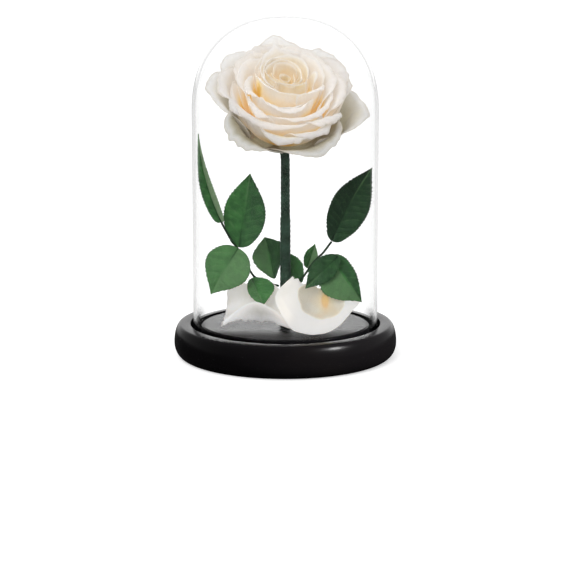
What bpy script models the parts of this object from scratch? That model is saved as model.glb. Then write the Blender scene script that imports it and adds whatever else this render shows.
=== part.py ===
"""Preserved rose under a glass dome.

A cream rose stands on a taped stem in a turned black base. A tall glass dome rests in the groove of
the base, and two loose petals lie beside the leaves on the raised disc. The origin is the middle of
the underside, +Z is up and -Y is the side that the flower faces. All sizes below are millimetres.
"""
import math

import bmesh
import bpy
from mathutils import Vector

MM = 0.001
MERGE = 0.00001
ROUND_SEGMENTS = 36
TUBE_RESOLUTION = 2

# Base: a turned foot with a flat rim, a groove for the glass and a raised disc
BASE_FOOT_RADIUS = 66.1
BASE_MAX_RADIUS = 72.5
BASE_MAX_HEIGHT = 9.3
BASE_RIM_RADIUS = 70.1
BASE_RIM_HEIGHT = 21.4
GROOVE_OUTER_RADIUS = 61.9
GROOVE_DEPTH = 5.4
DISC_RADIUS = 54.1
DISC_HEIGHT = 22.1
DISC_CHAMFER = 0.8
RIM_STEPS = 4
FOOT_STEPS = 3

# Dome: a straight wall with a cap that is a little squarer than a half ball
DOME_RADIUS = 60.0
DOME_TOP = 219.5
DOME_CAP_HEIGHT = 60.0
DOME_CAP_POWER = 2.25
DOME_CAP_STEPS = 7
GLASS = 2.4
GAP = 0.3

# Stem: a taped rod in a blind hole of the disc, with a short neck that bends back and then forward
STEM_Y = 9.0
STEM_RADIUS_LOW = 3.6
STEM_RADIUS_HIGH = 3.0
SOCKET_DEPTH = 10.0
SOCKET_CLEARANCE = 0.6
SOCKET_SEGMENTS = 16
STEM_PATH = ((0.0, STEM_Y, DISC_HEIGHT - SOCKET_DEPTH + GAP), (0.0, STEM_Y, 78.0), (0.0, STEM_Y, 122.0),
             (-0.6, STEM_Y + 1.1, 128.5), (-1.9, STEM_Y + 3.1, 134.0), (-3.0, STEM_Y + 4.4, 139.0),
             (-3.2, STEM_Y + 3.9, 141.8), (-2.95, STEM_Y + 2.3, 144.0))

# Flower: where its petals start, and how far its axis leans forward and to the right
FLOWER_CENTRE = (-2.2, 5.0, 152.6)
FLOWER_TILT = math.radians(36)
FLOWER_LEAN = math.radians(5)
PETAL_THICKNESS = 0.4
LIP_START = 0.84

# Petal grids, segments across and along: the heart's petals curl most and the outer ones are longest
HEART_OPENNESS = 0.16
OUTER_OPENNESS = 0.5
HEART_ACROSS = 8
PETAL_ACROSS = 5
PETAL_ALONG = 4
OUTER_ALONG = 5

# How a petal's form changes with its openness, as (openness, value) pairs; lengths in mm, rolls in radians
LIP_LENGTH = ((0.0, 3.0), (0.3, 5.0), (1.0, 10.0))
CORNER_CUT = ((0.0, 0.10), (0.3, 0.15), (1.0, 0.20))
SIDE_FLARE = ((0.0, -0.2), (0.3, 0.5), (1.0, 1.5))
SIDE_ROLL = ((0.0, 0.2), (0.2, 0.5), (0.4, 1.3), (1.0, 2.2))
MID_ROLL = ((0.0, 0.2), (0.3, 0.4), (1.0, 0.6))

# Width of a petal along its length: a narrow claw, full width past FULL_WIDTH, drawn in a little at the lip
CLAW_WIDTH = 0.16
FULL_WIDTH = 0.7
LIP_NARROWING = 0.12
TIP_WIDTH = 0.2
LEAST_RADIUS = 3.0

# Receptacle, turned about the flower's axis: radius and height, top to bottom
RECEPTACLE = ((0.0, 13.2), (0.9, 12.0), (2.7, 8.2), (5.2, 4.0), (7.6, -0.8), (7.2, -2.8), (4.8, -6.4),
              (3.4, -10.4), (0.0, -10.4))
RECEPTACLE_SEGMENTS = 16

# Petal family: openness, the radius and height of claw, lower pull, upper pull and lip, and the
# height that the lip gains on the side that is lifted most
FAMILY = (
    (0.00, (0.5, 15.2), (2.6, 19.0), (2.6, 30.0), (1.2, 37.5), 0.0),
    (0.10, (1.9, 12.4), (7.0, 15.5), (7.6, 31.0), (4.8, 40.5), 2.0),
    (0.24, (3.7, 9.2), (15.5, 9.5), (14.5, 33.0), (11.8, 44.0), 4.0),
    (0.38, (5.1, 7.0), (21.0, 6.0), (18.0, 31.0), (16.6, 42.0), 3.0),
    (0.56, (6.4, 5.0), (25.5, 2.0), (24.5, 26.5), (25.0, 34.5), 2.0),
    (0.70, (7.4, 3.2), (30.0, -1.5), (30.0, 22.0), (31.5, 31.0), 2.5),
    (0.85, (8.4, 1.3), (34.0, -5.0), (36.5, 15.0), (38.5, 25.5), 5.0),
    (1.00, (9.4, -0.6), (38.0, -9.0), (42.0, 6.5), (44.5, 17.0), 9.0),
    (1.10, (10.1, -1.9), (40.7, -11.7), (45.7, 0.8), (48.5, 11.3), 11.7),
)
LIFT_AZIMUTH = math.radians(215)


def petal(azimuth, openness, half_width, length=1.0, side_roll=None, mid_roll=None, tip=0.0, swing=0.012,
          hug=0.0):
    """Describe one petal; azimuth 0 faces front and 90 right, rolls are radians at the lip."""
    if side_roll is None:
        side_roll = ramp(openness, SIDE_ROLL)
    if mid_roll is None:
        mid_roll = ramp(openness, MID_ROLL)
    return dict(azimuth=math.radians(azimuth), openness=openness, half_width=half_width, length=length,
                side_roll=side_roll, mid_roll=mid_roll, tip=tip, swing=swing, hug=hug)


def ramp(value, table):
    """Read a table of (value, result) pairs along straight lines."""
    for (low, first), (high, last) in zip(table, table[1:]):
        if value <= high:
            share = max(0.0, (value - low) / (high - low))
            return first + (last - first) * share
    return table[-1][1]


def smooth(low, high, value):
    """Rise from 0 to 1 between low and high with no corner at either end."""
    share = min(1.0, max(0.0, (value - low) / (high - low)))
    return share * share * (3 - 2 * share)


def petals():
    """List the petals from the heart of the flower outwards."""
    return (
        petal(20, 0.0, 3.4, 0.97),
        petal(160, 0.04, 4.6, 0.98),
        petal(290, 0.08, 6.0, 0.97),
        petal(70, 0.115, 7.5, 0.98),
        petal(205, 0.15, 9.0),
        petal(335, 0.18, 10.0, 0.96),
        petal(110, 0.205, 12.0),
        petal(240, 0.225, 13.0),
        petal(10, 0.255, 15.5, 0.97, side_roll=0.5, mid_roll=0.6),
        petal(165, 0.28, 16.0, 1.02),
        petal(325, 0.335, 20.0, 0.98, side_roll=0.8, mid_roll=0.5, swing=-0.045),
        petal(75, 0.36, 15.0, 0.97, side_roll=0.9, mid_roll=0.6, swing=0.02),
        petal(207, 0.39, 16.5, 1.02, tip=0.6),
        petal(127, 0.425, 17.0, 1.02, tip=0.5),
        petal(60, 0.465, 15.0, side_roll=1.5, mid_roll=0.8, hug=0.03),
        petal(275, 0.51, 16.0, 0.99, tip=0.6),
        petal(181, 0.485, 18.5, 1.03, tip=1.0),
        petal(3, 0.56, 18.5, 0.99, side_roll=0.7, mid_roll=1.5, hug=0.09),
        petal(312, 0.615, 15.5, side_roll=1.2, mid_roll=1.2, tip=0.4),
        petal(92, 0.60, 20.0, 1.02, tip=0.6),
        petal(225, 0.62, 22.0, 1.02, tip=0.8),
        petal(150, 0.66, 22.0, 1.02, tip=0.8),
        petal(30, 0.665, 20.0, 0.98, side_roll=1.2, mid_roll=1.4, hug=0.03),
        petal(320, 0.69, 21.0, 0.99, side_roll=1.2, mid_roll=1.4),
        petal(265, 0.80, 24.0, tip=0.6),
        petal(190, 0.745, 24.0, 1.02, tip=1.2),
        petal(75, 0.73, 23.0, side_roll=1.7, mid_roll=0.8),
        petal(131, 0.82, 24.0, 1.02, tip=0.9),
        petal(343, 0.76, 23.0, 0.98, side_roll=1.2, mid_roll=1.2, swing=-0.03, hug=0.02),
        petal(53, 0.79, 20.5, side_roll=1.7, mid_roll=1.1),
        petal(298, 0.88, 22.0, 0.98, side_roll=1.7, mid_roll=0.9),
        petal(235, 0.925, 27.0, tip=1.6),
        petal(156, 0.885, 25.0, tip=1.2),
        petal(1, 0.885, 20.5, 0.99, side_roll=0.9, mid_roll=1.7, hug=0.06),
        petal(191, 0.985, 27.0, 1.01, side_roll=2.3, mid_roll=0.3, tip=3.0),
        petal(100, 0.935, 25.0, tip=1.0),
        petal(72, 1.01, 25.0, 1.08, side_roll=2.3, mid_roll=0.2, tip=4.0, swing=-0.02),
        petal(272, 1.00, 27.0, side_roll=2.0, mid_roll=0.6, tip=1.5),
        petal(22, 0.95, 24.0, 1.04, side_roll=2.0, mid_roll=1.2, tip=0.8),
        petal(323, 1.06, 20.0, 1.02, side_roll=1.4, mid_roll=0.8),
    )


def family_curve(openness, azimuth):
    """Give the four control points (radius, height) of the petal curve at an openness and azimuth."""
    lift = ramp(openness, [(row[0], row[5]) for row in FAMILY]) * (1 + math.cos(azimuth - LIFT_AZIMUTH)) / 2
    points = []
    for column, share in ((1, 0.0), (2, 0.0), (3, 0.6), (4, 1.0)):
        radius = ramp(openness, [(row[0], row[column][0]) for row in FAMILY])
        height = ramp(openness, [(row[0], row[column][1]) for row in FAMILY])
        points.append(Vector((radius, height + share * lift)))
    return points


def bezier(points, along):
    """Give the point and the direction of a cubic Bezier curve."""
    a, b, c, d = points
    rest = 1 - along
    place = rest ** 3 * a + 3 * rest ** 2 * along * b + 3 * rest * along ** 2 * c + along ** 3 * d
    heading = rest ** 2 * (b - a) + 2 * rest * along * (c - b) + along ** 2 * (d - c)
    return place, math.atan2(heading.y, heading.x)


def petal_point(shape, u, v):
    """Place a point of a petal: u runs -1 to 1 across it, v runs 0 at the claw to 1 at the lip."""
    openness = shape["openness"]
    side = abs(u)
    lip_length = ramp(openness, LIP_LENGTH)
    point_length = shape["tip"] / lip_length * (1 - LIP_START) * math.exp(-(side / TIP_WIDTH) ** 1.3)
    along = v * (shape["length"] * (1 - ramp(openness, CORNER_CUT) * side ** 3.2) + point_length)
    on_curve = min(along, LIP_START)
    local = openness + (shape["swing"] * u - shape["hug"] * u * u) * smooth(0.15, 0.8, along)
    spread = CLAW_WIDTH + (1 - CLAW_WIDTH) * math.sin(math.pi / 2 * min(along / FULL_WIDTH, 1)) ** 1.15
    spread *= 1 - LIP_NARROWING * (max(along - FULL_WIDTH, 0) / (1 - FULL_WIDTH)) ** 2
    middle, _ = bezier(family_curve(local, shape["azimuth"]), on_curve)
    azimuth = shape["azimuth"] + u * shape["half_width"] * spread / max(middle.x, LEAST_RADIUS)
    place, angle = bezier(family_curve(local, azimuth), on_curve)
    roll = shape["mid_roll"] + (shape["side_roll"] - shape["mid_roll"]) * side ** 1.6
    turn = roll * max(along - LIP_START, 0) / (1 - LIP_START)
    radius = place.x + lip_length / roll * (math.sin(angle) - math.sin(angle - turn))
    height = place.y + lip_length / roll * (math.cos(angle - turn) - math.cos(angle))
    flare = ramp(openness, SIDE_FLARE) * side ** 2.5 * smooth(0.25, 0.9, along)
    radius += flare * math.sin(angle - turn)
    height -= flare * math.cos(angle - turn)
    return Vector((radius * math.sin(azimuth), -radius * math.cos(azimuth), height)) * MM


# Leaflets: name, stalk end, tip, the way the upper side faces, then for the two halves the half width
# and the share of the length at which it is widest, and last the fold and the bend
LEAFLETS = (
    ("leaf_left_tip", (-41.3, 2.0, 88.0), (-56.2, 1.0, 145.0), (-0.15, -1.0, 0.05), (5.2, 4.6),
     (0.27, 0.27), 1.4, 0.0),
    ("leaf_left_upper", (-30.1, 4.9, 71.2), (-22.8, 8.0, 118.5), (0.0, -1.0, 0.15), (13.6, 14.6),
     (0.46, 0.42), 0.12, -3.0),
    ("leaf_left_lower", (-31.0, 0.2, 69.9), (-47.6, -12.0, 43.3), (-0.1, -0.9, 0.4), (15.4, 13.8),
     (0.42, 0.38), 0.10, 3.0),
    ("leaf_left_front", (-19.1, 1.0, 48.9), (-13.1, -14.5, 36.3), (0.1, -0.8, 0.6), (9.0, 10.8),
     (0.50, 0.50), 0.12, 2.0),
    ("leaf_left_inner", (-6.8, 15.0, 48.7), (-16.0, 17.5, 71.6), (0.0, -1.0, 0.1), (10.4, 10.5),
     (0.50, 0.66), 0.25, -1.5),
    ("leaf_right_inner", (10.3, 13.0, 46.4), (-0.9, 19.0, 65.8), (0.1, -1.0, 0.1), (7.4, 7.2),
     (0.50, 0.50), 0.10, -1.0),
    ("leaf_right_small", (15.4, 6.4, 59.4), (19.3, 8.6, 72.3), (0.6, -0.6, 0.2), (5.0, 5.0),
     (0.40, 0.40), 0.50, 0.0),
    ("leaf_right_tip", (30.3, 4.0, 75.4), (56.3, 3.0, 123.0), (-0.1, -1.0, 0.1), (11.2, 12.2),
     (0.45, 0.45), 0.15, -3.0),
    ("leaf_right_front", (34.1, -2.4, 66.4), (13.0, -12.2, 47.3), (0.1, -0.9, 0.35), (7.8, 8.8),
     (0.45, 0.45), 0.12, 2.0),
    ("leaf_right_outer", (29.0, 2.8, 65.4), (49.0, -8.0, 37.5), (0.15, -0.9, 0.3), (9.6, 15.4),
     (0.36, 0.50), 0.12, 3.0),
)
LEAF_THICKNESS = 0.6
LEAF_END_WIDTH = 0.5
LEAF_ACROSS = 4
LEAF_ALONG = 6

# Leaf stalks: the points that each one runs through, from the stem outwards
STALK_RADIUS = 0.9
STALKS = (
    ("leaf_stalk_left", ((-4.2, 9.0, 45.0), (-11.0, 8.4, 46.6), (-16.4, 7.0, 49.0), (-20.6, 5.4, 52.0),
                         (-25.6, 4.0, 60.0), (-30.6, 3.0, 70.0), (-36.0, 2.4, 78.0), (-41.0, 2.0, 87.3))),
    ("leaf_stalk_right", ((4.2, 9.0, 45.0), (8.4, 7.6, 47.5), (12.4, 6.0, 52.5), (18.0, 4.6, 61.0),
                          (25.0, 4.0, 68.2), (30.0, 4.0, 75.0))),
)

# Loose petals: rows of points that the sheet runs through, each row from left to right
FALLEN_PETALS = (
    ("fallen_petal_left", (
        ((-41.0, 2.0, 45.5), (-28.0, -1.0, 51.0), (-18.0, 2.0, 46.0), (-10.0, 4.6, 49.8), (-5.2, 3.0, 46.0)),
        ((-41.0, -4.0, 36.0), (-28.5, -6.0, 38.5), (-18.0, -2.0, 37.5), (-10.0, -0.5, 38.0),
         (-4.4, -5.0, 36.0)),
        ((-40.5, -13.0, 28.5), (-29.0, -13.5, 30.0), (-19.0, -13.5, 30.5), (-10.0, -13.5, 30.5),
         (-2.6, -16.0, 29.0)),
        ((-40.5, -20.0, 26.5), (-30.0, -21.5, 35.5), (-20.0, -23.5, 40.2), (-10.5, -25.0, 38.0),
         (-3.0, -25.5, 29.8)),
        ((-42.0, -23.0, 24.2), (-30.0, -28.0, 28.3), (-19.0, -31.5, 27.6), (-10.3, -33.0, 25.8),
         (-1.2, -33.0, 23.8)),
    )),
    ("fallen_petal_right", (
        ((21.6, -6.5, 40.5), (22.8, -7.2, 38.0), (24.8, -7.8, 36.6), (27.2, -7.6, 37.0), (28.6, -6.8, 39.0)),
        ((13.5, -7.0, 47.0), (12.5, -6.0, 37.5), (18.5, -12.0, 30.0), (28.5, -13.0, 29.5), (35.0, -9.0, 37.0)),
        ((9.5, -10.0, 52.5), (3.2, -14.5, 41.0), (9.5, -24.0, 27.5), (26.0, -28.0, 25.5), (42.0, -15.0, 37.5)),
        ((6.6, -16.0, 55.5), (-4.3, -26.0, 43.5), (5.5, -41.0, 26.2), (28.5, -41.0, 24.0), (48.0, -19.0, 38.6)),
    )),
)
FALLEN_ACROSS = 6
FALLEN_ALONG = 5


def material(name, colour, roughness, metallic=0.0):
    """Make a material from one colour, a roughness and a metallic value."""
    made = bpy.data.materials.new(name)
    made.use_nodes = True
    shader = made.node_tree.nodes["Principled BSDF"]
    shader.inputs["Base Color"].default_value = (*colour, 1)
    shader.inputs["Roughness"].default_value = roughness
    shader.inputs["Metallic"].default_value = metallic
    return made


def add_object(name, data, colour, collection, parent=None):
    """Put data in the scene as a named object with its own material."""
    made = bpy.data.objects.new(name, data)
    collection.objects.link(made)
    made.data.materials.append(colour)
    made.parent = parent
    return made


def turned(name, profile, steps, colour, collection, parent=None):
    """Turn a profile of (radius, height) about Z in a number of steps; it runs down the outer side."""
    mesh = bpy.data.meshes.new(name)
    bm = bmesh.new()
    corners = [bm.verts.new((radius * MM, 0, height * MM)) for radius, height in profile]
    for first, second in zip(corners, corners[1:]):
        bm.edges.new((first, second))
    bm.to_mesh(mesh)
    bm.free()
    made = add_object(name, mesh, colour, collection, parent)
    screw = made.modifiers.new("turn", "SCREW")
    screw.axis = "Z"
    screw.steps = steps
    screw.render_steps = steps
    screw.use_merge_vertices = True
    screw.merge_threshold = MERGE
    screw.use_smooth_shade = True
    return made


def tube(name, points, radii, colour, collection):
    """Run a round tube with closed ends through points, with a radius at each."""
    curve = bpy.data.curves.new(name, "CURVE")
    curve.dimensions = "3D"
    curve.bevel_depth = MM
    curve.bevel_resolution = TUBE_RESOLUTION
    curve.use_fill_caps = True
    spline = curve.splines.new("POLY")
    spline.points.add(len(points) - 1)
    for place, point, radius in zip(spline.points, points, radii):
        place.co = (*(Vector(point) * MM), 1)
        place.radius = radius
    return add_object(name, curve, colour, collection)


def sheet(name, across, along, place, thickness, colour, collection, parent=None):
    """Bend a grid into a thin sheet; place(u, v) gives each point, u and v run -1..1 and 0..1."""
    mesh = bpy.data.meshes.new(name)
    bm = bmesh.new()
    bmesh.ops.create_grid(bm, x_segments=across, y_segments=along, size=1)
    for vertex in bm.verts:
        vertex.co = place(vertex.co.x, (vertex.co.y + 1) / 2)
    bm.to_mesh(mesh)
    bm.free()
    mesh.shade_smooth()
    made = add_object(name, mesh, colour, collection, parent)
    solid = made.modifiers.new("thickness", "SOLIDIFY")
    solid.thickness = thickness * MM
    solid.offset = 0
    return made


def base_profile():
    """Give the outline of the base from the middle of the disc out, down and back under it."""
    groove_floor = BASE_RIM_HEIGHT - GROOVE_DEPTH
    profile = [
        (0, DISC_HEIGHT),
        (DISC_RADIUS - DISC_CHAMFER, DISC_HEIGHT),
        (DISC_RADIUS, DISC_HEIGHT - DISC_CHAMFER),
        (DISC_RADIUS, groove_floor),
        (GROOVE_OUTER_RADIUS, groove_floor),
        (GROOVE_OUTER_RADIUS, BASE_RIM_HEIGHT),
    ]
    for step in range(RIM_STEPS + 1):
        angle = math.pi / 2 * (1 - step / RIM_STEPS)
        radius = BASE_RIM_RADIUS + (BASE_MAX_RADIUS - BASE_RIM_RADIUS) * math.cos(angle)
        height = BASE_MAX_HEIGHT + (BASE_RIM_HEIGHT - BASE_MAX_HEIGHT) * math.sin(angle)
        profile.append((radius, height))
    for step in range(1, FOOT_STEPS + 1):
        angle = math.pi / 2 * step / FOOT_STEPS
        radius = BASE_FOOT_RADIUS + (BASE_MAX_RADIUS - BASE_FOOT_RADIUS) * math.cos(angle)
        profile.append((radius, BASE_MAX_HEIGHT * (1 - math.sin(angle))))
    profile.append((0, 0))
    return profile


def build_base(collection, cutters):
    """Turn the base and bore the blind hole that takes the stem."""
    black = material("satin black wood", (0.012, 0.012, 0.013), 0.35)
    base = turned("base", base_profile(), ROUND_SEGMENTS, black, collection)
    bpy.ops.mesh.primitive_cylinder_add(
        vertices=SOCKET_SEGMENTS,
        radius=(STEM_RADIUS_LOW + SOCKET_CLEARANCE) * MM,
        depth=2 * SOCKET_DEPTH * MM,
        location=(0, STEM_Y * MM, DISC_HEIGHT * MM),
    )
    drill = bpy.context.active_object
    drill.name = "stem_drill"
    drill.hide_render = True
    drill.display_type = "WIRE"
    bpy.context.collection.objects.unlink(drill)
    cutters.objects.link(drill)
    hole = base.modifiers.new("stem hole", "BOOLEAN")
    hole.operation = "DIFFERENCE"
    hole.object = drill


def build_dome(collection):
    """Turn the dome's outside and give it the glass thickness inwards."""
    clear = material("clear glass", (0.96, 0.97, 0.97), 0.03)
    wall_top = DOME_TOP - DOME_CAP_HEIGHT
    profile = []
    for step in range(DOME_CAP_STEPS + 1):
        angle = math.pi / 2 * step / DOME_CAP_STEPS
        radius = DOME_RADIUS * math.sin(angle) ** (2 / DOME_CAP_POWER)
        height = wall_top + DOME_CAP_HEIGHT * math.cos(angle) ** (2 / DOME_CAP_POWER)
        profile.append((radius, height))
    profile.append((DOME_RADIUS, BASE_RIM_HEIGHT - GROOVE_DEPTH + GAP))
    dome = turned("glass_dome", profile, ROUND_SEGMENTS, clear, collection)
    shell = dome.modifiers.new("glass", "SOLIDIFY")
    shell.thickness = GLASS * MM
    shell.offset = -1


def build_stem(collection):
    """Run the taped stem from the bottom of its hole to the neck of the flower."""
    tape = material("dark green tape", (0.012, 0.035, 0.028), 0.6)
    foot, neck = STEM_PATH[0][2], STEM_PATH[-1][2]
    taper = (STEM_RADIUS_LOW - STEM_RADIUS_HIGH) / (neck - foot)
    radii = [STEM_RADIUS_HIGH + taper * (neck - point[2]) for point in STEM_PATH]
    tube("stem", STEM_PATH, radii, tape, collection)


def build_flower(collection):
    """Place the receptacle and the petals about the flower's axis."""
    flower = bpy.data.objects.new("flower_axis", None)
    flower.location = Vector(FLOWER_CENTRE) * MM
    flower.rotation_euler = (FLOWER_TILT, FLOWER_LEAN, 0)
    collection.objects.link(flower)
    green = material("dark green calyx", (0.05, 0.09, 0.04), 0.65)
    turned("receptacle", RECEPTACLE, RECEPTACLE_SEGMENTS, green, collection, flower)
    for number, shape in enumerate(petals(), 1):
        colour = material(f"cream petal {number:02d}", (0.86, 0.79, 0.66), 0.6)
        across = HEART_ACROSS if shape["openness"] < HEART_OPENNESS else PETAL_ACROSS
        along = PETAL_ALONG if shape["openness"] < OUTER_OPENNESS else OUTER_ALONG
        sheet(f"petal_{number:02d}", across, along, lambda u, v: petal_point(shape, u, v), PETAL_THICKNESS,
              colour, collection, flower)


def leaf_point(leaflet, u, v):
    """Place a point of a leaflet: u runs -1 to 1 across it, v runs 0 at the stalk to 1 at the tip."""
    _, start, end, face, widths, widest, fold, bend = leaflet
    start = Vector(start)
    axis = Vector(end) - start
    side = axis.cross(Vector(face)).normalized()
    up = side.cross(axis).normalized()
    half = 0 if u < 0 else 1
    share = v ** (math.log(0.5) / math.log(widest[half]))
    width = widths[half] * max(0.0, math.sin(math.pi * share)) ** (0.55 + 0.5 * v)
    width = max(width, LEAF_END_WIDTH)
    rise = bend * 4 * v * (1 - v) + fold * abs(u) * width
    return (start + axis * v + side * (u * width) + up * rise) * MM


def build_leaves(collection):
    """Lay out the leaflets and the two stalks that carry them."""
    for leaflet in LEAFLETS:
        green = material(leaflet[0].replace("_", " "), (0.02, 0.10, 0.035), 0.55)
        sheet(leaflet[0], LEAF_ACROSS, LEAF_ALONG, lambda u, v: leaf_point(leaflet, u, v), LEAF_THICKNESS,
              green, collection)
    for name, points in STALKS:
        stalk = material(name.replace("_", " "), (0.015, 0.05, 0.03), 0.6)
        tube(name, points, [STALK_RADIUS] * len(points), stalk, collection)


def through(points, share):
    """Follow a smooth curve through points; share runs 0 to 1 from the first to the last."""
    steps = len(points) - 1
    index = min(int(share * steps), steps - 1)
    local = share * steps - index
    b, c = points[index], points[index + 1]
    a = points[index - 1] if index > 0 else 2 * b - c
    d = points[index + 2] if index < steps - 1 else 2 * c - b
    bend = (2 * a - 5 * b + 4 * c - d) * local ** 2 + (3 * b - a - 3 * c + d) * local ** 3
    return b + ((c - a) * local + bend) / 2


def fallen_point(rows, u, v):
    """Place a point of a loose petal from its rows of points."""
    across = [through([Vector(point) for point in row], (u + 1) / 2) for row in rows]
    return through(across, v) * MM


def build_fallen_petals(collection):
    """Lay the two loose petals on the disc."""
    for name, rows in FALLEN_PETALS:
        cream = material(name.replace("_", " "), (0.87, 0.82, 0.72), 0.6)
        sheet(name, FALLEN_ACROSS, FALLEN_ALONG, lambda u, v: fallen_point(rows, u, v), PETAL_THICKNESS,
              cream, collection)


def main():
    for old in list(bpy.data.objects):
        bpy.data.objects.remove(old)
    parts = bpy.data.collections.new("preserved rose in glass dome")
    cutters = bpy.data.collections.new("cutters")
    bpy.context.scene.collection.children.link(parts)
    bpy.context.scene.collection.children.link(cutters)
    build_base(parts, cutters)
    build_dome(parts)
    build_stem(parts)
    build_flower(parts)
    build_leaves(parts)
    build_fallen_petals(parts)


main()
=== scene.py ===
"""Looks of a preserved cream rose under a glass dome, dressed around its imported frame."""
import math

import bmesh
import bpy
import numpy as np
from mathutils import Euler, Matrix, Vector


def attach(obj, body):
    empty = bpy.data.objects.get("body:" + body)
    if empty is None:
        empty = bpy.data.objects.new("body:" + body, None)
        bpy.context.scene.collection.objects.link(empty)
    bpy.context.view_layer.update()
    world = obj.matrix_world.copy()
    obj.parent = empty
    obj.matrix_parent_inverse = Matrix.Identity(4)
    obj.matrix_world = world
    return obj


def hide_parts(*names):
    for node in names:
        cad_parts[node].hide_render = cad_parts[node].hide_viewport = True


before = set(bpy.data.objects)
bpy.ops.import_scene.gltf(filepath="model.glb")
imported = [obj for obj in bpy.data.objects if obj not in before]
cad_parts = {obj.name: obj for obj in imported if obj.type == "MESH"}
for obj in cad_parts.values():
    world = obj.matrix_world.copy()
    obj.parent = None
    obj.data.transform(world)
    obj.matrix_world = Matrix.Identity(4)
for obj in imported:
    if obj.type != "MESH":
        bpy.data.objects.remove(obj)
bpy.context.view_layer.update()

# The body that the pieces hang on, a millimetre in metres, and the seed for chance values
BODY = "root"
MM = 0.001
SEED = 41

# Glass dome, in mm
DOME_RADIUS = 60
DOME_TOP = 221.5
DOME_CAP_HEIGHT = 62
DOME_CAP_POWER = 2.25
DOME_CAP_STEPS = 56
GLASS = 2.4
GLASS_FOOT = 16.3
# Heights between which the painted reflection of the dark groove fades out of the wall's edges
FOOT_SHADE = (25, 31)
ROUND_STEPS = 160
# Radius in mm of the ring that a profile is swept along
TURN_CORE = 1

# Base, in mm
FOOT_RADIUS = 66.1
BELLY_RADIUS = 72.5
BELLY_HEIGHT = 9.3
RIM_RADIUS = 68.1
RIM_HEIGHT = 21.4
GROOVE_RADIUS = 61.9
GROOVE_DEPTH = 5.4
DISC_RADIUS = 54.1
DISC_HEIGHT = 22.1
DISC_CHAMFER = 0.8
EDGE_SOFTNESS = 0.35
ARC_STEPS = 14
# Angle in degrees from which its edges are drawn sharp
SHARP_ANGLE = 40

# Stem, in mm: the path of its middle and the tape wound on it
STEM_Y = 9
STEM_RADIUS_LOW = 3.7
STEM_RADIUS_HIGH = 3.35
STEM_PATH = ((0, STEM_Y, 12.4), (0, STEM_Y, 78), (0, STEM_Y, 127), (-0.2, STEM_Y + 0.4, 130),
             (-1.2, STEM_Y + 2.2, 134.5), (-2.6, STEM_Y + 4, 139), (-3.2, STEM_Y + 3.9, 141.8),
             (-2.95, STEM_Y + 2.3, 144))
TAPE_LAP = 0.34
# Height above which the stem has one layer of tape less, and that layer's thickness
TAPE_STEP_HEIGHT = 89.5
TAPE_STEP = 0.3
# Winding of the stem and of the leaf stalks: steps along and round, and its pitch and lap in mm
TAPE_WINDING = (480, 40, 3.3, TAPE_LAP)
STALK_WINDING = (90, 16, 5, 0.05)

# Flower: where its axis starts, in mm, and how it leans
FLOWER = Matrix.Translation((-2.2, 5, 152.6)) @ Euler((math.radians(36), math.radians(5), 0)).to_matrix().to_4x4()
# Sheets of petals and leaves: thickness in mm, and the share of it that is left at the edge
PETAL_SHEET = (0.4, 0.35)
LEAF_SHEET = (0.5, 0.4)
PETAL_GRID = (48, 56)
RECEPTACLE = ((0, 13.2), (0.9, 12), (2.7, 8.2), (5.2, 4), (7.6, -0.8), (7.2, -2.8), (4.8, -6.4),
              (3.4, -10.4), (0, -10.4))

# How a petal's form changes with its openness, as (openness, value) pairs: the lip's length in mm, how
# far it rolls back in radians at the flower's front and at its rear, the corners' cut, the outward turn
# of the side edges in mm, and how warm its colour is all over and further in
LIP_LENGTH = ((0, 2.5), (0.15, 3.5), (0.3, 5.5), (0.5, 8), (0.7, 10), (1, 12))
FRONT_ROLL = ((0, 0.4), (0.2, 1), (0.3, 1.6), (0.45, 2.3), (1, 2.3))
REAR_ROLL = ((0, 0.2), (0.3, 0.5), (1, 0.9))
CORNER_CUT = ((0, 0.03), (0.2, 0.06), (0.4, 0.16), (1, 0.26))
SIDE_FLARE = ((0, -0.3), (0.2, 0.2), (0.4, 1.2), (1, 3))
WARMTH = ((0, 0.35), (0.3, 0.18), (0.5, 0.03), (0.8, 0))
DEPTH_WARMTH = ((0, 0.5), (0.33, 0.5), (0.42, 0.85), (0.6, 0.95), (0.72, 0.85), (0.8, 0.4),
                (0.9, 0.1))
# How fast the roll and the corners' cut set in, and how far the sides roll back as well, in radians
ROLL_GAIN = 1.5
CORNER_POWER = 2.8
SIDE_ROLL = 0.5
# Shares: of the length where the lip starts, of the width at the claw, of the length where the width is
# full, and how much it narrows at the lip; then the least radius in mm that a petal is wrapped on
LIP_START = 0.84
CLAW_WIDTH = 0.16
FULL_WIDTH = 0.7
LIP_NARROWING = 0.12
LEAST_RADIUS = 3

# Petal family: openness, the radius and height of claw, lower pull, upper pull and lip, and the
# height that the lip gains on the side that is lifted most; then the share of it that each of them gains
FAMILY = (
    (0, 0.5, 15.2, 2.6, 19, 2.6, 30, 1.2, 37.5, 0),
    (0.1, 1.9, 12.4, 7, 15.5, 7.6, 31, 4.8, 40.5, 2),
    (0.24, 3.7, 9.2, 15.5, 9.5, 14.5, 33, 11.8, 44, 4),
    (0.38, 5.1, 7, 20.5, 6, 17.5, 30, 17.5, 42, 3),
    (0.56, 6.4, 5, 24, 2, 22.5, 25, 26, 35.5, 2),
    (0.7, 7.4, 3.2, 27.5, -1.5, 28, 20, 33.5, 31.5, 2.5),
    (0.85, 8.4, 1.3, 31.5, -5, 34, 13, 41, 25, 5),
    (1, 9.4, -0.6, 35.5, -9, 39, 4.5, 47.5, 16, 9),
    (1.1, 10.1, -1.9, 38, -11.7, 42.5, -1, 51.5, 10, 11.7),
)
LIFT_SHARES = (0, 0, 0.6, 1)
LIFT_AZIMUTH = math.radians(215)

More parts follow.
